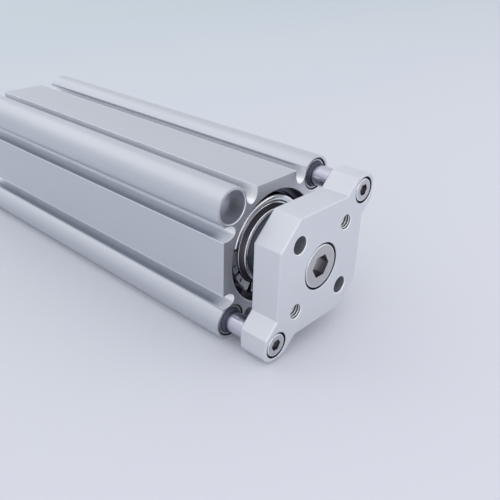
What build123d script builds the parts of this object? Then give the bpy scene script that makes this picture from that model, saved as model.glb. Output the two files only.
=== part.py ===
from build123d import *
import os

# Compact guided pneumatic cylinder, in millimetres.
# The cylinder axis is X and the rod comes out towards +X.
# The origin is the centre of the tube's front end face, and +Z is up.

os.makedirs("parts", exist_ok=True)

# Tube extrusion
bore_dia = 32.0
stroke = 85.0
tube_wall = 4.25
lobe_drop = 3.25
lobe_wall = 0.75
groove_width = 3.9
groove_depth = 4.25
groove_inset = 1.2
groove_to_lobe = 6.9
rim_chamfer = 0.2

# Mounting holes through two of the lobes
mount_hole_dia = 5.5
mount_counterbore_dia = 9.0
mount_counterbore_depth = 7.0

# Air ports, tapped for a one eighth inch taper thread
port_dia = 8.57
port_floor = 0.5
port_passage_dia = 3.0

# Seats at both ends of the bore, and their retaining rings
seat_step = 0.95
seat_clearance = 0.05
ring_inset = 2.7
ring_thickness = 1.5
ring_groove_depth = 0.8
ring_width = 2.4
ring_side_play = 0.05

# Ends and plier lugs of a retaining ring, angles in degrees from +Y towards +Z
lug_middle = -156.0
lug_gap = 5.0
lug_sweep = 27.0
lug_neck = 7.0
lug_play = 0.3
lug_width = 1.8
plier_hole_dia = 1.1
plier_rim = 0.35
plier_hole_angle = 13.0

# Collar, the front cover that carries the rod
collar_length = 10.5
boss_gap = 0.7
boss_rise = 2.4
boss_round = 0.15
dish_rise = 1.5
dish_round = 0.35
nose_flare = 1.0
nose_wall = 0.77
nose_rise = 3.5
nose_round = 0.3
notch_margin = 4.0

# Rear cover
rear_cover_length = 8.0
rear_recess_dia = 20.0
rear_recess_depth = 1.5

# Gaskets and air passages of both covers
gasket_section = 1.5
gasket_sides = 8
gasket_groove_width = 1.8
gasket_setback = 0.7
passage_depth = 1.9
passage_setback = 0.9
passage_lip = 1.5
passage_notch_width = 6.0
passage_notches = 4

# Bumpers at both ends of the stroke
bumper_thickness = 2.0
bumper_gap = 1.0
bumper_width = 3.5
stop_gap = 0.3

# Piston rod, with its seal and bushing in the collar
rod_dia = 16.0
running_gap = 0.03
seal_wall = 2.3
seal_depth = 3.4
seal_setback = 0.4
bushing_wall = 1.45
collar_web = 1.2
web_gap = 0.3
rod_spigot_dia = 10.0
rod_chamfer = 0.6
rod_seat_depth = 1.0

# Piston and its rings
piston_length = 12.5
piston_gap = 0.3
ring_fit_gap = 0.05
piston_seal_width = 3.0
piston_seal_wall = 2.9
lip_depth = 0.8
magnet_width = 2.4
magnet_wall = 2.7
magnet_sink = 0.3
wear_width = 2.4
wear_wall = 1.5
wear_split = 1.0
nut_across_flats = 16.0
nut_thickness = 4.0
nut_room = 1.4
spigot_end_gap = 0.3

# Front plate
plate_gap = 7.5
plate_thickness = 9.0
plate_margin = 0.35
plate_corner_cut = 7.3
plate_edge_chamfer = 0.35
plate_corner_round = 0.6
ear_flat = 7.75
ear_wall = 0.7
ear_corner_round = 3.0
tapped_dia = 4.2
pin_dia = 5.0
face_hole_offset = 9.8

# Centre bolt, size M8 with a low head
bolt_dia = 8.0
bolt_head_dia = 13.0
bolt_head_height = 5.0
bolt_length = 14.0
bolt_socket = 6.0
bolt_socket_depth = 3.2
head_gap = 0.25
head_sink = 0.2
hole_gap = 0.2
thread_gap = 0.05
tip_room = 2.0
head_chamfer = 0.4

# Guide rods, with M4 screws from the front of the ears
guide_rod_dia = 6.0
guide_rod_setback = 3.0
guide_seat_depth = 1.5
guide_bushing_wall = 1.2
guide_bushing_length = 12.0
guide_bushing_spacing = 12.5
guide_bushing_setback = 0.4
guide_seal_wall = 0.85
guide_seal_width = 1.2
guide_lip_rise = 0.5
guide_lip_wall = 0.4
guide_mouth_gap = 0.5
guide_mouth_depth = 0.8
guide_clear_gap = 0.5
screw_dia = 4.0
screw_head_dia = 7.0
screw_head_height = 4.0
screw_length = 12.0
screw_socket = 3.0
screw_socket_depth = 2.0

# Radii and half widths
bore_radius = bore_dia / 2
seat_radius = bore_radius + seat_step
cover_radius = seat_radius - seat_clearance
face_half = bore_radius + tube_wall
lobe_half = face_half - lobe_drop
groove_centre = lobe_half - groove_to_lobe
groove_long = groove_depth - groove_inset
groove_short = groove_width / 2 / (1 - (groove_inset / groove_long) ** 2) ** 0.5
guide_radius = guide_rod_dia / 2
guide_bushing_radius = guide_radius + running_gap + guide_bushing_wall
guide_seat_radius = guide_bushing_radius + seat_clearance
guide_mouth_radius = guide_bushing_radius + guide_mouth_gap
counterbore_radius = mount_counterbore_dia / 2
lobe_radius = max(guide_mouth_radius, counterbore_radius) + lobe_wall
rod_radius = rod_dia / 2
rod_bushing_radius = rod_radius + running_gap + bushing_wall
seal_radius = rod_radius + running_gap + seal_wall
nose_radius = seal_radius + nose_wall
dish_radius = nose_radius + nose_flare
ring_outer = seat_radius + ring_groove_depth - seat_clearance
ring_inner = ring_outer - ring_width
boss_radius = ring_inner - boss_gap
spigot_radius = rod_spigot_dia / 2
nut_radius = nut_across_flats / 2
nut_recess_radius = nut_radius + nut_room

# Stations along X, from the front end face backwards
collar_front = -(ring_inset + ring_thickness)
collar_rear = collar_front - collar_length
front_stop = collar_rear - bumper_thickness
piston_front = front_stop - stop_gap - stroke
piston_rear = piston_front - piston_length
rear_stop = piston_rear - stop_gap
cover_front = rear_stop - bumper_thickness
cover_rear = cover_front - rear_cover_length
rear_end = cover_rear - ring_thickness - ring_inset
body_length = -rear_end
collar_gasket_front = collar_front - gasket_setback
collar_passage_front = collar_gasket_front - gasket_groove_width - passage_setback
collar_passage_rear = collar_rear + passage_lip
cover_gasket_rear = cover_rear + gasket_setback
cover_passage_rear = cover_gasket_rear + gasket_groove_width + passage_setback
cover_passage_front = cover_front - passage_lip
port_stations = [
    (collar_passage_front + collar_passage_rear) / 2,
    (cover_passage_front + cover_passage_rear) / 2,
]
plate_back = plate_gap
plate_front = plate_back + plate_thickness
guide_bushing_front = -guide_bushing_setback
guide_inner_front = guide_bushing_front - guide_bushing_length - guide_bushing_spacing
guide_inner_rear = guide_inner_front - guide_bushing_length
guide_rod_front = plate_back + guide_seat_depth
guide_rod_rear = rear_end + guide_rod_setback

mount_spots = [(-lobe_half, lobe_half), (lobe_half, -lobe_half)]
guide_spots = {"upper": (lobe_half, lobe_half), "lower": (-lobe_half, -lobe_half)}


def keep(part, name):
    """Label a finished piece and write it out."""
    part.label = name
    export_step(part, "parts/" + name + ".step")


def tube_between(front, rear, inner, outer, spot=(0, 0)):
    """A plain ring between two stations along X."""
    with BuildPart() as ring:
        with BuildSketch(Plane.YZ.offset(rear)):
            with Locations(spot):
                Circle(outer)
                Circle(inner, mode=Mode.SUBTRACT)
        extrude(amount=front - rear)
    return ring.part


def turned(points, spot=(0, 0)):
    """A piece turned about an axis along X from the corners of its half section, (x, radius)."""
    with BuildPart() as piece:
        with BuildSketch(Plane.XY.offset(spot[1])):
            with BuildLine():
                Polyline(*[(x, spot[0] + radius) for x, radius in points], close=True)
            make_face()
        revolve(axis=Axis((0, *spot), (1, 0, 0)))
    return piece.part


def gasket_ring(station, inner, section):
    """A gasket about X, squeezed flat against its groove and its seat."""
    with BuildPart() as gasket:
        with BuildSketch(Plane.XY):
            with Locations((station, inner + section / 2)):
                RegularPolygon(section / 2, gasket_sides, major_radius=False, rotation=180 / gasket_sides)
        revolve(axis=Axis.X)
    return gasket.part


def sector(inner, outer, start, sweep):
    """A flat sector of a ring, angles in degrees."""
    with BuildSketch(Plane.XY) as face:
        with BuildLine():
            far = CenterArc((0, 0), outer, start, sweep)
            near = CenterArc((0, 0), inner, start, sweep)
            Line(far @ 0, near @ 0)
            Line(far @ 1, near @ 1)
        make_face()
    return face.sketch


# The retaining ring lies in its groove, and its two ends turn inwards as plier lugs.
lug_inner = dish_radius + lug_play
lug_outer = lug_inner + lug_width
lug_zone = lug_gap + 2 * lug_sweep
lug_start = lug_middle - lug_zone / 2
plier_radius = lug_inner + plier_rim + plier_hole_dia / 2


def retaining_ring(front, rear):
    """An internal retaining ring between two stations."""
    cleared = sector(lug_inner - ring_width, ring_outer + ring_width, lug_start, lug_zone)
    lugs = []
    for start in (lug_start, lug_middle + lug_gap / 2):
        lugs.append(sector(lug_inner, lug_outer, start, lug_sweep))
    necks = []
    for start in (lug_start - lug_neck / 2, lug_start + lug_zone - lug_neck / 2):
        necks.append(sector(lug_inner, ring_outer, start, lug_neck))
    with BuildPart() as ring:
        with BuildSketch(Plane.YZ.offset(rear)):
            Circle(ring_outer)
            Circle(ring_inner, mode=Mode.SUBTRACT)
            add(cleared, mode=Mode.SUBTRACT)
            add(lugs)
            add(necks)
            for turn in (-plier_hole_angle, plier_hole_angle):
                with PolarLocations(plier_radius, 1, start_angle=lug_middle + turn):
                    Circle(plier_hole_dia / 2, mode=Mode.SUBTRACT)
        extrude(amount=front - rear)
    return ring.part


# Cylinder tube: a square extrusion with a lobe at each corner and two sensor grooves in each face.
# The middle of a groove's oval lies inside the face, so its lips are undercut.
with BuildPart() as cylinder_tube:
    with BuildSketch(Plane.YZ.offset(rear_end)):
        Rectangle(2 * face_half, 2 * face_half)
        with GridLocations(2 * lobe_half, 2 * lobe_half, 2, 2):
            Circle(lobe_radius)
        with PolarLocations(0, 4):
            groove_middle = face_half - groove_inset
            with Locations((groove_middle, groove_centre), (groove_middle, -groove_centre)):
                Ellipse(groove_long, groove_short, mode=Mode.SUBTRACT)
    extrude(amount=body_length)
    bore_steps = [
        (0, rear_end, bore_radius),
        (0, collar_rear, seat_radius),
        (cover_front, rear_end, seat_radius),
    ]
    for front, rear, radius in bore_steps:
        with BuildSketch(Plane.YZ.offset(rear)):
            Circle(radius)
        extrude(amount=front - rear, mode=Mode.SUBTRACT)
    for front in (-ring_inset + ring_side_play, rear_end + ring_inset + ring_thickness + ring_side_play):
        with BuildSketch(Plane.YZ.offset(front)):
            Circle(ring_outer + seat_clearance)
        extrude(amount=-ring_thickness - 2 * ring_side_play, mode=Mode.SUBTRACT)
    mount_steps = [
        (0, rear_end, mount_hole_dia / 2),
        (0, -mount_counterbore_depth, counterbore_radius),
        (rear_end + mount_counterbore_depth, rear_end, counterbore_radius),
    ]
    for front, rear, radius in mount_steps:
        with BuildSketch(Plane.YZ.offset(rear)):
            with Locations(*mount_spots):
                Circle(radius)
        extrude(amount=front - rear, mode=Mode.SUBTRACT)
    guide_steps = [
        (0, rear_end, guide_radius + guide_clear_gap),
        (0, guide_inner_rear, guide_seat_radius),
        (0, -guide_mouth_depth, guide_mouth_radius),
    ]
    for front, rear, radius in guide_steps:
        with BuildSketch(Plane.YZ.offset(rear)):
            with Locations(*guide_spots.values()):
                Circle(radius)
        extrude(amount=front - rear, mode=Mode.SUBTRACT)
    port_steps = [
        (port_dia / 2, face_half - seat_radius - port_floor),
        (port_passage_dia / 2, tube_wall),
    ]
    for radius, depth in port_steps:
        with BuildSketch(Plane.XZ.offset(-face_half)):
            with Locations(*[(station, 0) for station in port_stations]):
                Circle(radius)
        extrude(amount=depth, mode=Mode.SUBTRACT)
    rims = cylinder_tube.edges().filter_by(GeomType.CIRCLE).group_by(Axis.X)
    chamfer([rim for rim in rims[-1] + rims[0] if rim.is_closed], rim_chamfer)
keep(cylinder_tube.part, "cylinder_tube")

keep(retaining_ring(collar_front + ring_thickness, collar_front), "front_snap_ring")
keep(retaining_ring(cover_rear, cover_rear - ring_thickness), "rear_snap_ring")

# Collar: a turned nose and boss in front of a ring that seats in the tube.
boss_front = collar_front + boss_rise
dish_floor = collar_front + dish_rise
nose_front = collar_front + nose_rise
seal_floor = nose_front - seal_setback - seal_depth
bushing_front = seal_floor - collar_web
gasket_inner = cover_radius - gasket_section
passage_radius = cover_radius - passage_depth
notch_sweep = lug_zone + lug_neck + 2 * notch_margin
lug_notch = sector(dish_radius, cover_radius, lug_middle - notch_sweep / 2, notch_sweep)
with BuildPart() as collar:
    with BuildSketch(Plane.XY) as collar_section:
        with BuildLine():
            Polyline(
                (collar_rear, rod_bushing_radius + seat_clearance),
                (bushing_front, rod_bushing_radius + seat_clearance),
                (bushing_front, rod_radius + web_gap),
                (seal_floor, rod_radius + web_gap),
                (seal_floor, seal_radius + seat_clearance),
                (nose_front, seal_radius + seat_clearance),
                (nose_front, nose_radius),
                (dish_floor, dish_radius),
                (boss_front, boss_radius),
                (collar_front, boss_radius),
                (collar_front, cover_radius),
                (collar_gasket_front, cover_radius),
                (collar_gasket_front, gasket_inner),
                (collar_gasket_front - gasket_groove_width, gasket_inner),
                (collar_gasket_front - gasket_groove_width, cover_radius),
                (collar_passage_front, cover_radius),
                (collar_passage_front, passage_radius),
                (collar_passage_rear, passage_radius),
                (collar_passage_rear, cover_radius),
                (collar_rear, cover_radius),
                close=True,
            )
        make_face()
        rounds = [
            ((nose_front, nose_radius), min(nose_round, nose_wall - 2 * seat_clearance)),
            ((dish_floor, dish_radius), min(dish_round, (boss_radius - dish_radius) / 2 - boss_round)),
            ((boss_front, boss_radius), boss_round),
        ]
        for corner, radius in rounds:
            fillet(collar_section.vertices().sort_by_distance(corner)[0], radius)
    revolve(axis=Axis.X)
    with BuildSketch(Plane.YZ.offset(collar_front)):
        add(lug_notch)
    extrude(amount=nose_rise, mode=Mode.SUBTRACT)
    with BuildSketch(Plane.YZ.offset(collar_rear)):
        with PolarLocations(cover_radius, passage_notches):
            Rectangle(2 * passage_depth, passage_notch_width)
    extrude(amount=passage_lip, mode=Mode.SUBTRACT)
keep(collar.part, "collar")

gasket_middle = collar_gasket_front - gasket_groove_width / 2
keep(gasket_ring(gasket_middle, gasket_inner, gasket_section), "collar_gasket")

# Rod seal: a lip seal whose front is cut back to a thin lip round the rod.
seal_front = seal_floor + seal_depth
rod_seal = turned([
    (seal_floor, rod_radius + running_gap),
    (seal_front, rod_radius + running_gap),
    (seal_front, rod_radius + running_gap + seal_wall / 3),
    (seal_front - lip_depth, rod_radius + running_gap + seal_wall / 2),
    (seal_front - lip_depth, seal_radius),
    (seal_floor, seal_radius),
])
keep(rod_seal, "rod_seal")

rod_bushing = tube_between(bushing_front, collar_rear, rod_radius + running_gap, rod_bushing_radius)
keep(rod_bushing, "rod_bushing")

front_bumper_inner = rod_radius + bumper_gap
front_bumper = tube_between(
    collar_rear, front_stop, front_bumper_inner, front_bumper_inner + bumper_width
)
keep(front_bumper, "front_bumper")

rear_bumper_inner = nut_recess_radius + bumper_gap
rear_bumper = tube_between(
    rear_stop, cover_front, rear_bumper_inner, rear_bumper_inner + bumper_width
)
keep(rear_bumper, "rear_bumper")

# Rear cover: a disc with the same gasket groove and air passage as the collar.
with BuildPart() as rear_cover:
    with BuildSketch(Plane.XY):
        with BuildLine():
            Polyline(
                (cover_front, 0),
                (cover_front, cover_radius),
                (cover_passage_front, cover_radius),
                (cover_passage_front, passage_radius),
                (cover_passage_rear, passage_radius),
                (cover_passage_rear, cover_radius),
                (cover_gasket_rear + gasket_groove_width, cover_radius),
                (cover_gasket_rear + gasket_groove_width, gasket_inner),
                (cover_gasket_rear, gasket_inner),
                (cover_gasket_rear, cover_radius),
                (cover_rear, cover_radius),
                (cover_rear, rear_recess_dia / 2),
                (cover_rear + rear_recess_depth, rear_recess_dia / 2),
                (cover_rear + rear_recess_depth, 0),
                close=True,
            )
        make_face()
    revolve(axis=Axis.X)
    with BuildSketch(Plane.YZ.offset(cover_passage_front)):
        with PolarLocations(cover_radius, passage_notches):
            Rectangle(2 * passage_depth, passage_notch_width)
    extrude(amount=passage_lip, mode=Mode.SUBTRACT)
keep(rear_cover.part, "rear_cover")

cover_gasket_middle = cover_gasket_rear + gasket_groove_width / 2
keep(gasket_ring(cover_gasket_middle, gasket_inner, gasket_section), "rear_cover_gasket")

# Piston: three ring grooves between four equal lands, a nut recess behind and a gasket recess in front.
piston_radius = bore_radius - piston_gap
fit_radius = bore_radius - ring_fit_gap
seal_groove_radius = fit_radius - piston_seal_wall - seat_clearance
magnet_outer = piston_radius - magnet_sink
magnet_groove_radius = magnet_outer - magnet_wall - seat_clearance
wear_groove_radius = fit_radius - wear_wall - seat_clearance
piston_land = (piston_length - piston_seal_width - magnet_width - wear_width) / 4
seal_groove_front = piston_front - piston_land
magnet_groove_front = seal_groove_front - piston_seal_width - piston_land
wear_groove_front = magnet_groove_front - magnet_width - piston_land
nut_front = piston_rear + nut_thickness + spigot_end_gap
spigot_hole_radius = spigot_radius + seat_clearance
gasket_recess_radius = spigot_hole_radius + gasket_section
gasket_recess_rear = piston_front - gasket_section - seat_clearance
piston = turned([
    (piston_front, gasket_recess_radius + seat_clearance),
    (piston_front, piston_radius),
    (seal_groove_front, piston_radius),
    (seal_groove_front, seal_groove_radius),
    (seal_groove_front - piston_seal_width, seal_groove_radius),
    (seal_groove_front - piston_seal_width, piston_radius),
    (magnet_groove_front, piston_radius),
    (magnet_groove_front, magnet_groove_radius),
    (magnet_groove_front - magnet_width, magnet_groove_radius),
    (magnet_groove_front - magnet_width, piston_radius),
    (wear_groove_front, piston_radius),
    (wear_groove_front, wear_groove_radius),
    (wear_groove_front - wear_width, wear_groove_radius),
    (wear_groove_front - wear_width, piston_radius),
    (piston_rear, piston_radius),
    (piston_rear, nut_recess_radius),
    (nut_front, nut_recess_radius),
    (nut_front, spigot_hole_radius),
    (gasket_recess_rear, spigot_hole_radius),
    (gasket_recess_rear, gasket_recess_radius + seat_clearance),
])
keep(piston, "piston")

# Piston seal: a lip at each side presses on the bore, with a hollow between them.
seal_groove_rear = seal_groove_front - piston_seal_width
piston_seal = turned([
    (seal_groove_rear + seat_clearance, seal_groove_radius + seat_clearance),
    (seal_groove_front - seat_clearance, seal_groove_radius + seat_clearance),
    (seal_groove_front - seat_clearance, fit_radius),
    (seal_groove_front - piston_seal_width / 3, fit_radius),
    (seal_groove_front - piston_seal_width / 2, fit_radius - lip_depth),
    (seal_groove_rear + piston_seal_width / 3, fit_radius),
    (seal_groove_rear + seat_clearance, fit_radius),
])
keep(piston_seal, "piston_seal")

magnet_ring = tube_between(
    magnet_groove_front - seat_clearance,
    magnet_groove_front - magnet_width + seat_clearance,
    magnet_groove_radius + seat_clearance,
    magnet_outer,
)
keep(magnet_ring, "magnet_ring")

# Wear ring: a bearing strip bent round the piston, open at one place.
with BuildPart() as wear_ring:
    with BuildSketch(Plane.YZ.offset(wear_groove_front - wear_width + seat_clearance)):
        Circle(fit_radius)
        Circle(wear_groove_radius + seat_clearance, mode=Mode.SUBTRACT)
        with Locations((0, fit_radius)):
            Rectangle(wear_split, 2 * (wear_wall + seat_clearance), mode=Mode.SUBTRACT)
    extrude(amount=wear_width - 2 * seat_clearance)
keep(wear_ring.part, "wear_ring")

piston_gasket = gasket_ring(
    piston_front - gasket_section / 2 - seat_clearance, spigot_hole_radius, gasket_section
)
keep(piston_gasket, "piston_gasket")

# Piston nut, with a thread hole that clears the spigot of the rod.
with BuildPart() as piston_nut:
    with BuildSketch(Plane.YZ.offset(nut_front)):
        RegularPolygon(nut_radius, 6, major_radius=False)
        Circle(spigot_hole_radius, mode=Mode.SUBTRACT)
    extrude(amount=-nut_thickness)
keep(piston_nut.part, "piston_nut")

# Piston rod: tapped in front for the centre bolt, with a shoulder against the piston and a threaded spigot.
bolt_radius = bolt_dia / 2
bolt_seat = plate_front - head_sink - bolt_head_height
rod_front = plate_back + rod_seat_depth
with BuildPart() as piston_rod:
    with BuildSketch(Plane.XY):
        with BuildLine():
            Polyline(
                (rod_front, 0),
                (rod_front, rod_radius - rod_chamfer),
                (rod_front - rod_chamfer, rod_radius),
                (piston_front, rod_radius),
                (piston_front, spigot_radius),
                (piston_rear + spigot_end_gap + rod_chamfer, spigot_radius),
                (piston_rear + spigot_end_gap, spigot_radius - rod_chamfer),
                (piston_rear + spigot_end_gap, 0),
                close=True,
            )
        make_face()
    revolve(axis=Axis.X)
    with BuildSketch(Plane.YZ.offset(rod_front)):
        Circle(bolt_radius + thread_gap)
    extrude(amount=bolt_seat - bolt_length - tip_room - rod_front, mode=Mode.SUBTRACT)
keep(piston_rod.part, "piston_rod")

# Front plate: a square block with two corners cut off and an ear over each guide rod.
plate_half = lobe_half + plate_margin
head_radius = bolt_head_dia / 2
screw_head_radius = screw_head_dia / 2
screw_recess_radius = screw_head_radius + head_gap
ear_half = lobe_half + screw_recess_radius + ear_wall
cut_half = plate_half - plate_corner_cut
ear_start = plate_half - ear_flat
ear_end = ear_half - ear_flat
ear_side = [
    (plate_half, ear_start),
    (ear_half, ear_end),
    (ear_half, ear_half),
    (ear_end, ear_half),
    (ear_start, plate_half),
    (-cut_half, plate_half),
    (-plate_half, cut_half),
]
other_side = [(-y, -z) for y, z in ear_side]
screw_seat = plate_front - head_sink - screw_head_height
with BuildPart() as front_plate:
    with BuildSketch(Plane.YZ.offset(plate_back)) as outline:
        with BuildLine():
            Polyline(*ear_side, *other_side, close=True)
        make_face()
        ear_tips = outline.vertices().sort_by(lambda corner: abs(corner.X + corner.Y))[-2:]
        other_corners = [corner for corner in outline.vertices() if corner not in ear_tips]
        fillet(ear_tips, ear_corner_round)
        fillet(other_corners, plate_corner_round)
    extrude(amount=plate_thickness)
    chamfer(front_plate.faces().sort_by(Axis.X)[-1].outer_wire().edges(), plate_edge_chamfer)
    chamfer(front_plate.faces().sort_by(Axis.X)[0].outer_wire().edges(), plate_edge_chamfer)
    plate_holes = [
        (plate_front, plate_back, bolt_radius + hole_gap, [(0, 0)]),
        (plate_front, bolt_seat, head_radius + head_gap, [(0, 0)]),
        (rod_front, plate_back, rod_radius + seat_clearance, [(0, 0)]),
        (plate_front, plate_back, screw_dia / 2 + hole_gap, guide_spots.values()),
        (plate_front, screw_seat, screw_recess_radius, guide_spots.values()),
        (guide_rod_front, plate_back, guide_radius + seat_clearance, guide_spots.values()),
        (plate_front, plate_back, tapped_dia / 2,
         [(face_hole_offset, face_hole_offset), (-face_hole_offset, -face_hole_offset)]),
        (plate_front, plate_back, pin_dia / 2,
         [(-face_hole_offset, face_hole_offset), (face_hole_offset, -face_hole_offset)]),
    ]
    for front, rear, radius, spots in plate_holes:
        with BuildSketch(Plane.YZ.offset(rear)):
            with Locations(*spots):
                Circle(radius)
        extrude(amount=front - rear, mode=Mode.SUBTRACT)
    front_rims = front_plate.edges().filter_by(GeomType.CIRCLE).group_by(Axis.X)[-1]
    chamfer([rim for rim in front_rims if rim.is_closed], rim_chamfer)
keep(front_plate.part, "front_plate")


def socket_screw(seat, head_radius, head_height, shank_radius, length, socket, socket_depth, spot=(0, 0)):
    """A socket head screw whose head rests on a seat and whose shank runs back along X."""
    with BuildPart() as screw:
        with BuildSketch(Plane.YZ.offset(seat)):
            with Locations(spot):
                Circle(head_radius)
        extrude(amount=head_height)
        chamfer(screw.edges().sort_by(Axis.X)[-1], head_chamfer)
        with BuildSketch(Plane.YZ.offset(seat)):
            with Locations(spot):
                Circle(shank_radius)
        extrude(amount=-length)
        chamfer(screw.edges().sort_by(Axis.X)[0], head_chamfer)
        with BuildSketch(Plane.YZ.offset(seat + head_height)):
            with Locations(spot):
                RegularPolygon(socket / 2, 6, major_radius=False)
        extrude(amount=-socket_depth, mode=Mode.SUBTRACT)
    return screw.part


plate_bolt = socket_screw(
    bolt_seat, head_radius, bolt_head_height, bolt_radius, bolt_length, bolt_socket, bolt_socket_depth
)
keep(plate_bolt, "plate_bolt")

# One guide rod with its screw, bushings and wiper seal, at the upper and at the lower lobe.
seal_outer = guide_radius + running_gap + guide_seal_wall
seal_rear = guide_bushing_front - guide_seal_width
for place, spot in guide_spots.items():
    with BuildPart() as guide_rod:
        with BuildSketch(Plane.YZ.offset(guide_rod_rear)):
            with Locations(spot):
                Circle(guide_radius)
        extrude(amount=guide_rod_front - guide_rod_rear)
        ends = guide_rod.edges().filter_by(GeomType.CIRCLE).sort_by(Axis.X)
        chamfer([ends[0], ends[-1]], rod_chamfer)
        with BuildSketch(Plane.YZ.offset(guide_rod_front)):
            with Locations(spot):
                Circle(screw_dia / 2 + thread_gap)
        extrude(amount=screw_seat - screw_length - tip_room - guide_rod_front, mode=Mode.SUBTRACT)
    keep(guide_rod.part, "guide_rod_" + place)

    guide_screw = socket_screw(
        screw_seat, screw_head_radius, screw_head_height, screw_dia / 2, screw_length,
        screw_socket, screw_socket_depth, spot,
    )
    keep(guide_screw, "guide_screw_" + place)

    with BuildPart() as guide_bushing:
        with BuildSketch(Plane.YZ.offset(guide_bushing_front - guide_bushing_length)):
            with Locations(spot):
                Circle(guide_bushing_radius)
                Circle(guide_radius + running_gap, mode=Mode.SUBTRACT)
        extrude(amount=guide_bushing_length)
        with BuildSketch(Plane.YZ.offset(seal_rear)):
            with Locations(spot):
                Circle(seal_outer + seat_clearance)
        extrude(amount=guide_seal_width, mode=Mode.SUBTRACT)
    keep(guide_bushing.part, "guide_bushing_" + place)

    inner_bushing = tube_between(
        guide_inner_front, guide_inner_rear, guide_radius + running_gap, guide_bushing_radius, spot
    )
    keep(inner_bushing, "inner_bushing_" + place)

    seal_face = guide_bushing_front - seat_clearance
    guide_seal = turned([
        (seal_rear, guide_radius + running_gap),
        (guide_lip_rise, guide_radius + running_gap),
        (guide_lip_rise, guide_radius + running_gap + guide_lip_wall),
        (seal_face, seal_outer),
        (seal_rear, seal_outer),
    ], spot)
    keep(guide_seal, "guide_seal_" + place)

print("body length", round(body_length, 3))
print("lobe pitch", round(2 * lobe_half, 3))
print("width over lobes", round(2 * (lobe_half + lobe_radius), 3))
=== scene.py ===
import math

import bmesh
import bpy
from mathutils import Matrix, Vector

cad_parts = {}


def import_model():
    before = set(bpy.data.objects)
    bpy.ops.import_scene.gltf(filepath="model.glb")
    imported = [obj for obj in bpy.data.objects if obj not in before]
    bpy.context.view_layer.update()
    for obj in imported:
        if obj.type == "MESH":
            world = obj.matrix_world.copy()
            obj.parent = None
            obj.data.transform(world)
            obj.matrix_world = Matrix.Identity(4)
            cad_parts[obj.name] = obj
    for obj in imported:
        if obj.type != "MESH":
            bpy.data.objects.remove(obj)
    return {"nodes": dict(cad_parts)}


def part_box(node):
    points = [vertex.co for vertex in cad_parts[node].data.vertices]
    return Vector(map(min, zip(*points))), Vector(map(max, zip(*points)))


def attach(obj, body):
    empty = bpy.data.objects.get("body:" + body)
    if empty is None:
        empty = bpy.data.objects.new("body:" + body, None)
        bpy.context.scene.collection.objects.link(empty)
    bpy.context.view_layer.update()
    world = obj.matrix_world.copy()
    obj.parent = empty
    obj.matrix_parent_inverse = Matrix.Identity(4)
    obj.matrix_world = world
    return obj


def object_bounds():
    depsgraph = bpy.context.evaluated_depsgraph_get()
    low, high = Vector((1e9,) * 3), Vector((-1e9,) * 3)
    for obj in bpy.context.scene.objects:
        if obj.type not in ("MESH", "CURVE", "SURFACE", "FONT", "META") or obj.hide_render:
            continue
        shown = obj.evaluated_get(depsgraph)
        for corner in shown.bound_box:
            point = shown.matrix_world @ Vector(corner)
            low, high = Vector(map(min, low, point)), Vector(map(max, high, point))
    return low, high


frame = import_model()
cad_box = [list(corner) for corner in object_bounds()]
nodes = frame["nodes"]

MM = 0.001

# Camera: the photograph's viewpoint, in a square picture
EYE = Vector((0.10014, -0.12196, 0.08238))
VIEW_AZIMUTH = math.radians(-48.143)
VIEW_ELEVATION = math.radians(28.04)
VIEW_ROLL = math.radians(1.798)
SENSOR_MM = 36.0
LENS_MM = 45.504

# Places on the part, read from the frame
LOBE = abs(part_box("guide_rod_upper")[0].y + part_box("guide_rod_upper")[1].y) / 2
FLOOR_Z = cad_box[0][2]
PLATE_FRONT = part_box("front_plate")[1].x
PLATE_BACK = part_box("front_plate")[0].x
TUBE_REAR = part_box("cylinder_tube")[0].x

# Holes and screw heads of the plate, with the widths of their painted highlight rims and painted shadow
# outlines
FACE_HOLE = 9.8 * MM
TAPS = ((FACE_HOLE, FACE_HOLE), (-FACE_HOLE, -FACE_HOLE))
PINS = ((FACE_HOLE, -FACE_HOLE), (-FACE_HOLE, FACE_HOLE))
EARS = ((LOBE, LOBE), (-LOBE, -LOBE))
TAP_RADIUS = 2.1 * MM
PIN_RADIUS = 2.5 * MM
HOLE_WALL = 0.03 * MM
HOLE_RIM_HIGHLIGHT = 0.13 * MM
HEAD_RECESS = 6.75 * MM
HEAD_RADIUS = 6.5 * MM
BOLT_SOCKET = 3.5 * MM
EAR_RECESS = 3.75 * MM
EAR_HEAD = 3.5 * MM
EAR_SOCKET = 1.78 * MM
SOCKET_MOUTH = 0.35 * MM
HEAD_HIGHLIGHT_BAND = (0.7 * MM, 0.45 * MM)
HEAD_PAINTED_SHADOW = 0.27 * MM

# Thread ridges in the tapped holes
TAP_CREST = 1.83 * MM
TAP_PITCH = 0.8 * MM
THREAD_END = math.radians(105)
THREAD_STEPS = 40
THREAD_FADE_IN = 20
THREAD_FADE_OUT = 8

# Faces, grooves and bores of the tube, with the depths over which painted shade runs in the grooves and the
# strip of painted highlight along their lips
FACE_HALF = 20.25 * MM
SKIN = 0.04 * MM
GROOVE_NEAR = 8.1 * MM
GROOVE_FAR = 12.0 * MM
LIP_INSET = 0.12 * MM
LIP_HALF = 0.17 * MM
GROOVE_END = (-5.5 * MM, -1.5 * MM)
LOBE_SHADE = (0.35 * MM, 1.05 * MM)
FACE_SHADE = (0.25 * MM, 1.5 * MM)
SIDE_SHADE = (1.5 * MM, 4.05 * MM)
BORE_REACH = 17.8 * MM
GUIDE_REACH = 4.85 * MM
COUNTERBORE_REACH = 4.6 * MM
BORE_MOUTH = 0.25 * MM
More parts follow.
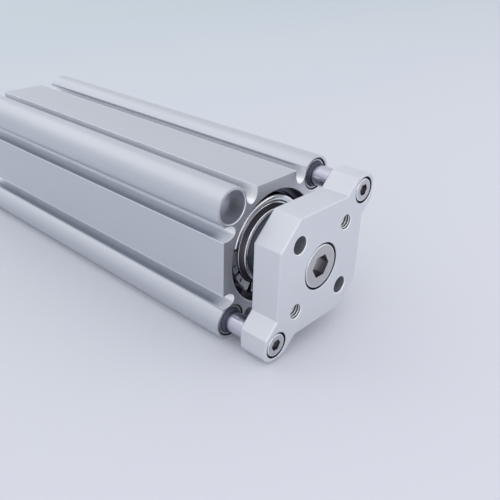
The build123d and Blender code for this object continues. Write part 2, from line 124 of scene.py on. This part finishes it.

# Collar, its boss and its snap ring, with the places of their painted shade, painted highlights and painted
# light
COLLAR_FRONT = -4.2 * MM
CONE_RADIUS = 11.62 * MM
CONE_HALF = 0.38 * MM
CONE_SHADE = (3.0 * MM, 6.5 * MM)
COLLAR_RIM_HIGHLIGHTS = (11.12 * MM, 12.13 * MM, 14.5 * MM)
RIM_HALF = 0.11 * MM
RELIEF = (-0.5 * MM, 1.35 * MM)
RELIEF_RADIUS = 12.0 * MM
LUG_REACH = (14.3 * MM, 15.0 * MM)
LUG_SIDE = (4.2 * MM, 3.0 * MM)
BEAD_RIM = 14.25 * MM
BEAD_SHADE = (9.0 * MM, 4.5 * MM)
BEAD_ARC = (math.radians(-118.5), math.radians(166.5))
BEAD_STEPS = 228

# The bead's outline: x and radius in millimetres
BEAD_PROFILE = (
    (-2.95, 12.3), (-2.62, 12.22), (-2.3, 12.42), (-2.02, 12.7), (-1.8, 13.0), (-1.66, 13.3), (-1.58, 13.6),
    (-1.56, 13.9), (-1.62, 14.18), (-1.76, 14.42), (-1.96, 14.58), (-2.2, 14.64), (-2.6, 14.65), (-2.95, 14.5),
)

# Floor: half its width, and the places along X between which its tone changes
FLOOR_HALF = 4.0
FLOOR_TONE = (-0.45, 0.15)

# Lamps: name, place, size, power and colour; all look at the origin
LAMPS = (
    ("softbox", (-0.82, -0.18, 0.70), (1.0, 0.8), 0.75, (1.0, 0.99, 1.0)),
    ("left_high", (0.30, -0.55, 0.52), (0.5, 0.4), 0.32, (1.0, 0.995, 1.0)),
    ("right_fill", (0.65, 0.55, 0.35), (0.6, 0.6), 0.5, (1.0, 0.985, 0.97)),
    ("front_fill", (0.80, -0.40, 0.30), (0.9, 0.7), 0.9, (1.0, 0.99, 0.985)),
)


def camera():
    """The camera stands where the photograph was taken from."""
    back = Vector((
        math.cos(VIEW_ELEVATION) * math.cos(VIEW_AZIMUTH),
        math.cos(VIEW_ELEVATION) * math.sin(VIEW_AZIMUTH),
        math.sin(VIEW_ELEVATION),
    ))
    right = Vector((0, 0, 1)).cross(back).normalized()
    up = back.cross(right)
    turn = Matrix.Rotation(VIEW_ROLL, 3, back)
    right = turn @ right
    up = turn @ up
    data = bpy.data.cameras.new("camera")
    data.sensor_width = SENSOR_MM
    data.lens = LENS_MM
    data.clip_start = 0.005
    data.clip_end = 20.0
    cam = bpy.data.objects.new("camera", data)
    place = Matrix((right, up, back)).transposed().to_4x4()
    place.translation = EYE
    cam.matrix_world = place
    bpy.context.scene.collection.objects.link(cam)
    bpy.context.scene.camera = cam


def area_light(name, place, size, power, color):
    """A soft box at a place, turned to the origin."""
    data = bpy.data.lights.new(name, "AREA")
    data.shape = "RECTANGLE"
    data.size, data.size_y = size
    data.energy = power
    data.color = color
    lamp = bpy.data.objects.new(name, data)
    lamp.location = place
    lamp.rotation_euler = (-Vector(place)).to_track_quat("-Z", "Y").to_euler()
    bpy.context.scene.collection.objects.link(lamp)


class Graph:
    """A material's node tree, with short calls for its nodes and links."""

    def __init__(self, name):
        self.material = bpy.data.materials.new(name)
        self.material.use_nodes = True
        self.tree = self.material.node_tree
        self.tree.nodes.clear()
        self.output = self.add("ShaderNodeOutputMaterial")

    def add(self, kind, **values):
        node = self.tree.nodes.new(kind)
        for key, value in values.items():
            setattr(node, key, value)
        return node

    def link(self, source, target):
        self.tree.links.new(source, target)

    def coordinates(self):
        return self.add("ShaderNodeTexCoord").outputs["Object"]

    def stretch(self, source, scale, offset=(0, 0, 0)):
        """Coordinates moved and then scaled by an amount along each axis."""
        moved = self.add("ShaderNodeVectorMath", operation="SUBTRACT")
        moved.inputs[1].default_value = offset
        scaled = self.add("ShaderNodeVectorMath", operation="MULTIPLY")
        scaled.inputs[1].default_value = scale
        self.link(source, moved.inputs[0])
        self.link(moved.outputs[0], scaled.inputs[0])
        return scaled.outputs[0]

    def noise(self, vector, detail, roughness):
        """Noise in steps of one unit of the given coordinates."""
        node = self.add("ShaderNodeTexNoise")
        node.inputs["Scale"].default_value = 1.0
        node.inputs["Detail"].default_value = detail
        node.inputs["Roughness"].default_value = roughness
        self.link(vector, node.inputs["Vector"])
        return node.outputs["Fac"]

    def grain(self, place, per_metre, detail=2.0, roughness=0.6):
        """Noise of the same fineness in all directions."""
        return self.noise(self.stretch(place, (per_metre, per_metre, per_metre)), detail, roughness)

    def math(self, operation, first, second=None):
        """A sum, product, comparison or other step on one or two values."""
        node = self.add("ShaderNodeMath", operation=operation)
        for socket, value in zip(node.inputs, (first, second)):
            if value is None:
                continue
            if isinstance(value, (int, float)):
                socket.default_value = value
            else:
                self.link(value, socket)
        return node.outputs[0]

    def remap(self, value, low, high):
        """A value from 0 to 1 brought between two limits."""
        node = self.add("ShaderNodeMapRange")
        node.inputs["To Min"].default_value = low
        node.inputs["To Max"].default_value = high
        self.link(value, node.inputs["Value"])
        return node.outputs["Result"]

    def mix(self, factor, first, second):
        """Two colours mixed by a factor."""
        node = self.add("ShaderNodeMix", data_type="RGBA")
        self.link(factor, node.inputs[0])
        for socket, value in ((node.inputs[6], first), (node.inputs[7], second)):
            if isinstance(value, tuple):
                socket.default_value = (*value, 1)
            else:
                self.link(value, socket)
        return node.outputs[2]

    def ring_distance(self, source, centre):
        """Distance from an axis that runs along X through a centre (y, z)."""
        flat = self.stretch(source, (0, 1, 1), (0, *centre))
        length = self.add("ShaderNodeVectorMath", operation="LENGTH")
        self.link(flat, length.inputs[0])
        return length.outputs["Value"]

    def along(self, source, axis=0):
        """One of the three coordinates."""
        parts = self.add("ShaderNodeSeparateXYZ")
        self.link(source, parts.inputs[0])
        return parts.outputs[axis]

    def near_axis(self, source, centre, radius):
        """One within a radius of an axis along X, zero outside it."""
        return self.math("LESS_THAN", self.ring_distance(source, centre), radius)

    def within(self, value, centre, half):
        """One where a value lies less than half a width from a centre, zero elsewhere."""
        offset = self.math("ABSOLUTE", self.math("SUBTRACT", value, centre))
        return self.math("LESS_THAN", offset, half)

    def span(self, value, start, end):
        """A value that goes from zero to one between two places, in either direction."""
        node = self.add("ShaderNodeMapRange")
        node.inputs["From Min"].default_value = start
        node.inputs["From Max"].default_value = end
        self.link(value, node.inputs["Value"])
        return node.outputs["Result"]

    def turned_marks(self, source, centre, spacing):
        """Marks of a lathe: random rings about an axis along X."""
        radius = self.ring_distance(source, centre)
        line = self.add("ShaderNodeCombineXYZ")
        self.link(self.math("DIVIDE", radius, spacing), line.inputs[0])
        return self.noise(line.outputs[0], 3.0, 0.6)

    def bump(self, height, distance, strength, edge=0.0):
        """A bump of a given depth, over edges rounded by a bevel radius where one is given."""
        node = self.add("ShaderNodeBump")
        node.inputs["Distance"].default_value = distance
        node.inputs["Strength"].default_value = strength
        self.link(height, node.inputs["Height"])
        if edge:
            self.link(self.bevel(edge), node.inputs["Normal"])
        return node.outputs["Normal"]

    def bevel(self, radius):
        """The surface's direction, rounded over its edges."""
        node = self.add("ShaderNodeBevel", samples=6)
        node.inputs["Radius"].default_value = radius
        return node.outputs["Normal"]

    def shader(self, color, roughness, normal=None, **values):
        """The principled shader, with named sockets for what is constant."""
        node = self.add("ShaderNodeBsdfPrincipled")
        for name, value in (("Base Color", color), ("Roughness", roughness)):
            if isinstance(value, tuple):
                node.inputs[name].default_value = (*value, 1)
            elif isinstance(value, float):
                node.inputs[name].default_value = value
            else:
                self.link(value, node.inputs[name])
        if normal is not None:
            self.link(normal, node.inputs["Normal"])
        for name, value in values.items():
            node.inputs[name.replace("_", " ").capitalize()].default_value = value
        self.link(node.outputs[0], self.output.inputs["Surface"])
        return node


def end_face_mask(g):
    """One on faces that look along X, zero on all others."""
    normal = g.add("ShaderNodeNewGeometry").outputs["True Normal"]
    return g.math("GREATER_THAN", g.math("ABSOLUTE", g.along(normal)), 0.9)


def tube_aluminium():
    """Satin anodised extrusion: faint draw lines along X, painted shade and light in the grooves, a painted
    highlight on the groove lips, sawn end faces, machined bores darkened by painted shade.
    """
    g = Graph("tube_aluminium")
    place = g.coordinates()
    lines = g.noise(g.stretch(place, (25, 5200, 5200)), 3.0, 0.6)
    grain = g.grain(place, 9000)
    cloud = g.noise(g.stretch(place, (12, 40, 40)), 2.0, 0.5)
    base = g.mix(cloud, (0.604, 0.624, 0.664), (0.674, 0.694, 0.734))
    base = g.mix(g.remap(lines, 0.0, 0.16), base, (0.51, 0.53, 0.57))
    speckle = g.noise(g.stretch(place, (100, 2600, 2600)), 4.0, 0.75)
    across = g.math("ABSOLUTE", g.along(place, 1))
    upward = g.math("ABSOLUTE", g.along(place, 2))
    depth = g.math("SUBTRACT", FACE_HALF, g.math("MAXIMUM", across, upward))
    aside = g.math("MINIMUM", across, upward)
    # Painted shade and light in the grooves: each wall darker or lighter by its depth below the face, standing
    # in for the shade of the undercuts
    lobe_side_shade = g.mix(g.span(depth, *LOBE_SHADE), (0.52, 0.54, 0.60), (0.98, 0.985, 0.995))
    face_side_shade = g.mix(g.span(depth, *FACE_SHADE), (0.80, 0.825, 0.87), (0.52, 0.54, 0.59))
    lying_groove_shade = g.mix(g.math("GREATER_THAN", aside, (GROOVE_NEAR + GROOVE_FAR) / 2), face_side_shade, lobe_side_shade)
    standing_groove_shade = g.mix(g.span(depth, *SIDE_SHADE), (0.37, 0.395, 0.45), (0.94, 0.96, 0.99))
    groove_shading = g.mix(g.math("GREATER_THAN", across, upward), lying_groove_shade, standing_groove_shade)
    # Painted light: the grooves turn pale towards their front ends, where light reaches into them
    groove_shading = g.mix(g.span(g.along(place), *GROOVE_END), groove_shading, (0.98, 0.985, 0.995))
    base = g.mix(g.math("GREATER_THAN", depth, SKIN), base, groove_shading)
    # Painted highlight: a bright strip on the flats along the mouths of the grooves
    lip_highlight = g.within(aside, GROOVE_NEAR - LIP_INSET, LIP_HALF)
    base = g.mix(g.math("MULTIPLY", lip_highlight, g.math("LESS_THAN", depth, SKIN)), base, (0.84, 0.86, 0.90))
    sawn = g.mix(speckle, (0.51, 0.52, 0.55), (0.90, 0.915, 0.95))
    base = g.mix(end_face_mask(g), base, sawn)
    # Painted shade: the walls of the bores are near black, all but a thin strip at each mouth
    bore_shade = g.near_axis(place, (0, 0), BORE_REACH)
    for sign in (1, -1):
        bore_shade = g.math("MAXIMUM", bore_shade, g.near_axis(place, (sign * LOBE, sign * LOBE), GUIDE_REACH))
        counterbore = g.near_axis(place, (sign * LOBE, -sign * LOBE), COUNTERBORE_REACH)
        base = g.mix(counterbore, base, (0.64, 0.65, 0.70))
    inward = g.within(g.along(place), TUBE_REAR / 2, -TUBE_REAR / 2 - BORE_MOUTH)
    base = g.mix(g.math("MULTIPLY", bore_shade, inward), base, (0.10, 0.10, 0.12))
    rough = g.remap(grain, 0.36, 0.46)
    height = g.math("ADD", g.math("MULTIPLY", lines, 0.7), g.math("MULTIPLY", grain, 0.6))
    normal = g.bump(height, 0.006 * MM, 0.5, 0.12 * MM)
    g.shader(base, rough, normal, Metallic=0.9)
    return g.material


def plate_aluminium():
    """Finely blasted and anodised plate: softened edges, painted shade on its hole walls, painted highlight
    rims round its face holes.
    """
    g = Graph("plate_aluminium")
    place = g.coordinates()
    grain = g.grain(place, 7000, 3.0, 0.65)
    cloud = g.grain(place, 90, 2.0, 0.5)
    base = g.mix(cloud, (0.71, 0.725, 0.765), (0.77, 0.78, 0.82))
    base = g.mix(g.remap(grain, 0.0, 0.10), base, (0.55, 0.565, 0.60))
    # Painted shade: the walls of the screw recesses and tapped holes are near black, those of the pin holes a
    # darker grey
    bore_shade = g.near_axis(place, (0, 0), HEAD_RECESS + HOLE_WALL)
    for centres, radius in ((EARS, EAR_RECESS), (TAPS, TAP_RADIUS)):
        for centre in centres:
            bore_shade = g.math("MAXIMUM", bore_shade, g.near_axis(place, centre, radius + HOLE_WALL))
    pin_wall_shade = g.math("MAXIMUM", *(g.near_axis(place, centre, PIN_RADIUS + HOLE_WALL) for centre in PINS))
    walls = g.math("SUBTRACT", 1.0, end_face_mask(g))
    base = g.mix(g.math("MULTIPLY", bore_shade, walls), base, (0.085, 0.09, 0.11))
    base = g.mix(g.math("MULTIPLY", pin_wall_shade, walls), base, (0.38, 0.39, 0.43))
    # Painted highlight: a bright ring round the mouth of each tapped and pin hole
    for centres, radius in ((TAPS, TAP_RADIUS), (PINS, PIN_RADIUS)):
        for centre in centres:
            rim = g.within(g.ring_distance(place, centre), radius + HOLE_RIM_HIGHLIGHT, HOLE_RIM_HIGHLIGHT)
            base = g.mix(rim, base, (0.97, 0.97, 0.98))
    normal = g.bump(grain, 0.010 * MM, 0.5, 0.35 * MM)
    g.shader(base, g.remap(grain, 0.44, 0.54), normal, Metallic=0.72)
    return g.material


def turned_metal(name, dark, light, roughness, centre=(0, 0), spacing=0.2 * MM, edge=0.1 * MM, depth=0.004 * MM,
                 rim=None, socket=None):
    """Metal turned on a lathe, with rings about its own axis.

    A screw head has a rim with a painted highlight band and a painted shadow outline, and a socket with a
    painted bright floor and painted shade on its walls.
    """
    g = Graph(name)
    place = g.coordinates()
    rings = g.turned_marks(place, centre, spacing)
    grain = g.grain(place, 3000)
    base = g.mix(rings, dark, light)
    if rim:
        # Painted highlight: a bright band just inside the head's rim; painted shadow: a dark outline at its
        # very edge, where the gap lies
        reach = g.ring_distance(place, centre)
        rim_highlight = g.span(reach, *(rim - inset for inset in HEAD_HIGHLIGHT_BAND))
        base = g.mix(rim_highlight, base, (0.86, 0.87, 0.90))
        base = g.mix(g.math("GREATER_THAN", reach, rim - HEAD_PAINTED_SHADOW), base, (0.10, 0.10, 0.12))
    if socket:
        # Painted light and shade in the socket: its floor bright, its walls dark
        deep = g.math("LESS_THAN", g.along(place), PLATE_FRONT - SOCKET_MOUTH)
        hole = g.math("MULTIPLY", deep, g.near_axis(place, centre, socket))
        inner = g.mix(end_face_mask(g), (0.25, 0.235, 0.25), (0.98, 0.97, 0.98))
        base = g.mix(hole, base, inner)
    rough = g.remap(grain, roughness - 0.04, roughness + 0.05)
    g.shader(base, rough, g.bump(rings, depth, 0.6, edge), Metallic=1.0)
    return g.material


def collar_metal():
    """Polished turned collar: painted shade on the cone round the nose, painted highlight rims, and painted
    shade on a relief behind its front.
    """
    g = Graph("collar_metal")
    place = g.coordinates()
    radius = g.ring_distance(place, (0, 0))
    rings = g.turned_marks(place, (0, 0), 0.22 * MM)
    grain = g.grain(place, 3000)
    base = g.mix(rings, (0.74, 0.72, 0.73), (0.93, 0.92, 0.94))
    # Painted shade: the cone round the nose is made dark, darkest over its upper part
    cone = g.within(radius, CONE_RADIUS, CONE_HALF)
    shade = g.mix(g.span(g.along(place, 2), *CONE_SHADE), (0.175, 0.165, 0.185), (0.07, 0.066, 0.078))
    base = g.mix(cone, base, shade)
    # Painted highlights: thin bright rings at the edges of the dish, boss and nose
    for edge in COLLAR_RIM_HIGHLIGHTS:
        base = g.mix(g.within(radius, edge, RIM_HALF), base, (0.92, 0.92, 0.94))
    # Painted shade: near black on the collar just behind its front, outside the boss
    front = g.math("GREATER_THAN", g.along(place), COLLAR_FRONT + RELIEF[0])
    behind = g.math("LESS_THAN", g.along(place), COLLAR_FRONT + RELIEF[1])
    outside = g.math("GREATER_THAN", radius, RELIEF_RADIUS)
    relief_shade = g.math("MULTIPLY", g.math("MULTIPLY", behind, front), outside)
    base = g.mix(relief_shade, base, (0.05, 0.05, 0.06))
    normal = g.bump(rings, 0.004 * MM, 0.6, 0.12 * MM)
    rough = g.math("ADD", g.remap(grain, 0.12, 0.21), g.math("MULTIPLY", cone, 0.30))
    g.shader(base, rough, normal, Metallic=1.0)
    return g.material


def bead_metal():
    """Polished boss: painted shade darkens it lower down inside its rim, so it stays bright above and along its
    rim.
    """
    g = Graph("bead_metal")
    place = g.coordinates()
    rings = g.turned_marks(place, (0, 0), 0.3 * MM)
    grain = g.grain(place, 3000)
    base = g.mix(rings, (0.88, 0.87, 0.89), (0.98, 0.975, 0.985))
    # Painted shade: inside the rim the boss turns dark below a height of 9 mm, darkest below 4.5 mm
    low = g.span(g.along(place, 2), *BEAD_SHADE)
    inner = g.math("LESS_THAN", g.ring_distance(place, (0, 0)), BEAD_RIM)
    base = g.mix(g.math("MULTIPLY", low, inner), base, (0.26, 0.245, 0.265))
    normal = g.bump(rings, 0.0012 * MM, 0.6)
    g.shader(base, g.remap(grain, 0.12, 0.20), normal, Metallic=1.0)
    return g.material


def ring_steel():
    """Phosphated spring steel: a near-black ring, with painted light on its plier lugs and beside them."""
    g = Graph("ring_steel")
    place = g.coordinates()
    grain = g.grain(place, 2600, 3.0)
    body = g.mix(grain, (0.06, 0.06, 0.08), (0.13, 0.13, 0.165))
    # Painted light: a lighter band on the ring's body beside the lugs
    beside_lugs_light = g.span(g.math("ABSOLUTE", g.along(place, 2)), *LUG_SIDE)
    beside_lugs_light = g.math("MULTIPLY", beside_lugs_light, g.math("LESS_THAN", g.along(place, 1), 0.0))
    body = g.mix(beside_lugs_light, body, (0.50, 0.49, 0.51))
    # Painted light: the lugs lighter than the ring's body
    lug_painted_light = g.mix(grain, (0.62, 0.62, 0.66), (0.80, 0.80, 0.84))
    base = g.mix(g.span(g.ring_distance(place, (0, 0)), *LUG_REACH), lug_painted_light, body)
    g.shader(base, g.remap(grain, 0.26, 0.38), g.bump(grain, 0.01 * MM, 0.4, 0.1 * MM), Metallic=0.9)
    return g.material


def ground_rod(name, base_low, base_high, roughness):
    """Ground and chromed rod: very fine marks round it, and a mirror sheen."""
    g = Graph(name)
    place = g.coordinates()
    round_marks = g.noise(g.stretch(place, (9000, 120, 120)), 2.0, 0.6)
    base = g.mix(round_marks, base_low, base_high)
    normal = g.bump(round_marks, 0.001 * MM, 0.4, 0.15 * MM)
    g.shader(base, g.remap(round_marks, roughness - 0.03, roughness + 0.04), normal, Metallic=1.0)
    return g.material


def plain_rough(name, low, high, roughness, metallic=0.0):
    """Rubber, plastic or dark metal with a fine uneven surface."""
    g = Graph(name)
    place = g.coordinates()
    grain = g.grain(place, 2600, 3.0)
    base = g.mix(grain, low, high)
    normal = g.bump(grain, 0.01 * MM, 0.4, 0.1 * MM)
    g.shader(base, g.remap(grain, roughness - 0.06, roughness + 0.06), normal, Metallic=metallic)
    return g.material


def cut_thread(name, centre):
    """A tapped thread: painted light along its crests and painted shade in its roots."""
    g = Graph(name)
    place = g.coordinates()
    grain = g.grain(place, 4000)
    # Painted light and shade: bright at the crests, dark towards the roots
    depth = g.span(g.ring_distance(place, centre), TAP_CREST + 0.02 * MM, TAP_RADIUS - 0.06 * MM)
    base = g.mix(depth, (0.90, 0.91, 0.94), (0.12, 0.125, 0.145))
    g.shader(base, g.remap(grain, 0.30, 0.42), g.bump(grain, 0.004 * MM, 0.4), Metallic=0.8)
    return g.material


def dress(material, *names):
    """Give CAD nodes a finished material."""
    for name in names:
        mesh = nodes[name].data
        mesh.materials.clear()
        mesh.materials.append(material)


def helical_thread(name, spot, front, rear):
    """The ridge of an internal thread, wound inside a tapped hole along X and running out at both ends."""
    turns = (front - rear - 1.5 * TAP_PITCH) / TAP_PITCH
    steps = int(turns * THREAD_STEPS)
    half = TAP_PITCH * 0.42
    flat = half * 0.2
    wall = TAP_RADIUS + 0.02 * MM
    least_height = 0.05
    mesh = bmesh.new()
    rows = []
    for step in range(steps + 1):
        turn = step / THREAD_STEPS
        angle = (turn - turns) * math.tau + THREAD_END
        x = rear + TAP_PITCH + turn * TAP_PITCH
        height = max(min(1.0, step / THREAD_FADE_IN, (steps - step) / THREAD_FADE_OUT), least_height)
        crest = wall + (TAP_CREST - wall) * height
        row = []
        for shift, radius in ((-half, wall), (-flat, crest), (flat, crest), (half, wall)):
            y = spot[0] + radius * math.cos(angle)
            z = spot[1] + radius * math.sin(angle)
            row.append(mesh.verts.new((x + shift, y, z)))
        rows.append(row)
    for one, two in zip(rows, rows[1:]):
        for k in range(4):
            after = (k + 1) % 4
            mesh.faces.new((one[k], one[after], two[after], two[k]))
    mesh.faces.new(rows[0][::-1])
    mesh.faces.new(rows[-1])
    bmesh.ops.recalc_face_normals(mesh, faces=mesh.faces)
    data = bpy.data.meshes.new(name)
    mesh.to_mesh(data)
    mesh.free()
    piece = bpy.data.objects.new(name, data)
    bpy.context.scene.collection.objects.link(piece)
    return piece


def collar_bead():
    """The rounded front of the collar's boss, turned about X and open over the ring's lugs."""
    start, end = BEAD_ARC
    mesh = bmesh.new()
    rows = []
    for step in range(BEAD_STEPS + 1):
        angle = start + (end - start) * step / BEAD_STEPS
        rows.append([mesh.verts.new((x * MM, radius * MM * math.cos(angle), radius * MM * math.sin(angle)))
                     for x, radius in BEAD_PROFILE])
    for one, two in zip(rows, rows[1:]):
        for k in range(len(BEAD_PROFILE)):
            after = (k + 1) % len(BEAD_PROFILE)
            mesh.faces.new((one[k], one[after], two[after], two[k])).smooth = True
    mesh.faces.new(rows[0][::-1])
    mesh.faces.new(rows[-1])
    bmesh.ops.recalc_face_normals(mesh, faces=mesh.faces)
    data = bpy.data.meshes.new("collar_bead")
    mesh.to_mesh(data)
    mesh.free()
    data.materials.append(bead_metal())
    piece = bpy.data.objects.new("collar_bead", data)
    bpy.context.scene.collection.objects.link(piece)
    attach(piece, "barrel")


def floor():
    """A pale floor far larger than the view, a little cooler and darker towards the far end."""
    data = bpy.data.meshes.new("floor")
    corners = [(x * FLOOR_HALF, y * FLOOR_HALF, FLOOR_Z) for x, y in ((-1, -1), (1, -1), (1, 1), (-1, 1))]
    data.from_pydata(corners, [], [(0, 1, 2, 3)])
    piece = bpy.data.objects.new("floor", data)
    bpy.context.scene.collection.objects.link(piece)
    g = Graph("floor")
    place = g.coordinates()
    tone = g.grain(place, 3, 1.0, 0.5)
    near = g.span(g.math("ADD", g.along(place), g.math("MULTIPLY", tone, 0.1)), *FLOOR_TONE)
    base = g.mix(near, (0.635, 0.70, 0.735), (0.76, 0.758, 0.81))
    g.shader(base, 0.8)
    data.materials.append(g.material)


def world():
    """Even pale studio light, a little brighter from above."""
    sky = bpy.data.worlds.new("studio")
    bpy.context.scene.world = sky
    sky.use_nodes = True
    tree = sky.node_tree
    tree.nodes.clear()
    out = tree.nodes.new("ShaderNodeOutputWorld")
    ground = tree.nodes.new("ShaderNodeBackground")
    coords = tree.nodes.new("ShaderNodeTexCoord")
    parts = tree.nodes.new("ShaderNodeSeparateXYZ")
    ramp = tree.nodes.new("ShaderNodeValToRGB")
    ramp.color_ramp.elements[0].position = 0.0
    ramp.color_ramp.elements[0].color = (0.745, 0.775, 0.83, 1)
    ramp.color_ramp.elements[1].position = 1.0
    ramp.color_ramp.elements[1].color = (0.84, 0.865, 0.91, 1)
    tree.links.new(coords.outputs["Generated"], parts.inputs[0])
    tree.links.new(parts.outputs[2], ramp.inputs[0])
    tree.links.new(ramp.outputs[0], ground.inputs["Color"])
    ground.inputs["Strength"].default_value = 1.0
    tree.links.new(ground.outputs[0], out.inputs["Surface"])


def dress_all():
    """Every CAD node gets its finished material."""
    dress(tube_aluminium(), "cylinder_tube")
    dress(plate_aluminium(), "front_plate")
    dress(collar_metal(), "collar")
    dress(turned_metal("cover_metal", (0.50, 0.48, 0.48), (0.78, 0.77, 0.79), 0.2, spacing=0.22 * MM,
                       edge=0.12 * MM), "rear_cover")
    dress(ring_steel(), "front_snap_ring", "rear_snap_ring")
    dress(ground_rod("rod_steel", (0.66, 0.67, 0.72), (0.80, 0.81, 0.86), 0.13), "piston_rod")
    dress(ground_rod("guide_rod_steel", (0.50, 0.50, 0.57), (0.66, 0.66, 0.75), 0.22),
          "guide_rod_upper", "guide_rod_lower")
    dress(turned_metal("screw_steel_centre", (0.40, 0.39, 0.40), (0.70, 0.69, 0.70), 0.3, depth=0.012 * MM,
                       rim=HEAD_RADIUS, socket=BOLT_SOCKET), "plate_bolt")
    for side, spot in zip(("upper", "lower"), EARS):
        dress(turned_metal("screw_steel_" + side, (0.42, 0.42, 0.44), (0.74, 0.74, 0.77), 0.3, centre=spot,
                           depth=0.010 * MM, rim=EAR_HEAD, socket=EAR_SOCKET), "guide_screw_" + side)
    dress(plain_rough("guide_bushing_metal", (0.62, 0.61, 0.64), (0.80, 0.79, 0.82), 0.3, 0.9),
          "guide_bushing_upper", "guide_bushing_lower", "inner_bushing_upper", "inner_bushing_lower")
    dress(plain_rough("seal_rubber", (0.012, 0.012, 0.016), (0.03, 0.03, 0.04), 0.5),
          "collar_gasket", "rear_cover_gasket", "piston_seal", "piston_gasket")
    dress(plain_rough("guide_wiper", (0.045, 0.047, 0.08), (0.075, 0.078, 0.125), 0.42),
          "guide_seal_upper", "guide_seal_lower")
    dress(plain_rough("wiper_urethane", (0.085, 0.09, 0.115), (0.14, 0.145, 0.175), 0.42), "rod_seal")
    dress(plain_rough("bumper_urethane", (0.10, 0.08, 0.05), (0.15, 0.12, 0.08), 0.6),
          "front_bumper", "rear_bumper")
    dress(turned_metal("bushing_bronze", (0.48, 0.33, 0.16), (0.68, 0.50, 0.28), 0.32), "rod_bushing")
    dress(turned_metal("piston_aluminium", (0.55, 0.56, 0.58), (0.72, 0.73, 0.76), 0.32), "piston")
    dress(plain_rough("wear_plastic", (0.13, 0.10, 0.08), (0.19, 0.15, 0.12), 0.55), "wear_ring")
    dress(plain_rough("magnet", (0.06, 0.06, 0.065), (0.11, 0.11, 0.12), 0.5), "magnet_ring")
    dress(turned_metal("nut_steel", (0.50, 0.50, 0.50), (0.66, 0.66, 0.66), 0.35), "piston_nut")


def threads():
    """Threads in the two tapped holes of the plate."""
    for place, spot in zip(("upper", "lower"), TAPS):
        piece = helical_thread("face_thread_" + place, spot, PLATE_FRONT, PLATE_BACK)
        piece.data.materials.append(cut_thread("cut_thread_" + place, spot))
        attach(piece, "rod_carriage")


scene = bpy.context.scene
scene.view_settings.view_transform = "Standard"
camera()
world()
floor()
for lamp in LAMPS:
    area_light(*lamp)
dress_all()
threads()
collar_bead()
